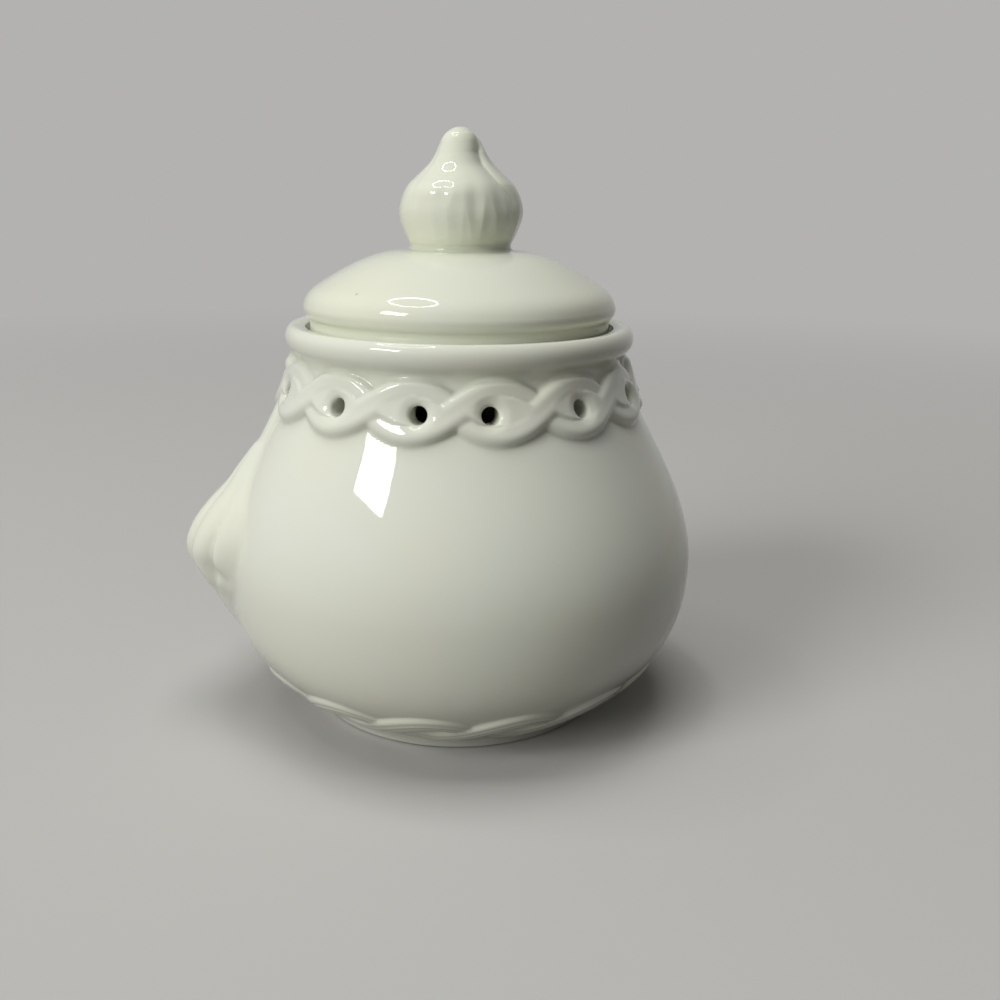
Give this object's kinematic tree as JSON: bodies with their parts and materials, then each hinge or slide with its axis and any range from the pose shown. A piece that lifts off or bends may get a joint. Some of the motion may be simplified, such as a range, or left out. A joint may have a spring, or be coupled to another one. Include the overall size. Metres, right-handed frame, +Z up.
{
  "type": "garlic keeper",
  "caption": "Glazed ceramic garlic keeper: pear-shaped vented jar with a rope band and a garlic bulb in relief, and a loose domed lid with a garlic-shaped knob.",
  "frame": {"origin": "on the jar's axis, in the plane of the flat foot that it stands on", "axes": "+Z up along the jar's axis, towards the knob; -Y is the front, where the garlic bulb stands out in relief"},
  "size_m": [0.1382, 0.149, 0.1653],
  "materials": {
    "jar_glaze": "glossy white glaze on earthenware, faintly green",
    "lid_glaze": "glossy white glaze on earthenware, faintly green"
  },
  "bodies": {
    "jar": {"jar": "jar_glaze"},
    "lid": {"lid": "lid_glaze"}
  },
  "joints": [
    {"name": "lid_lift", "type": "slide", "parent": "jar", "child": "lid", "axis": [0, 0, 1], "range_m": [0, 0.08]}
  ]
}
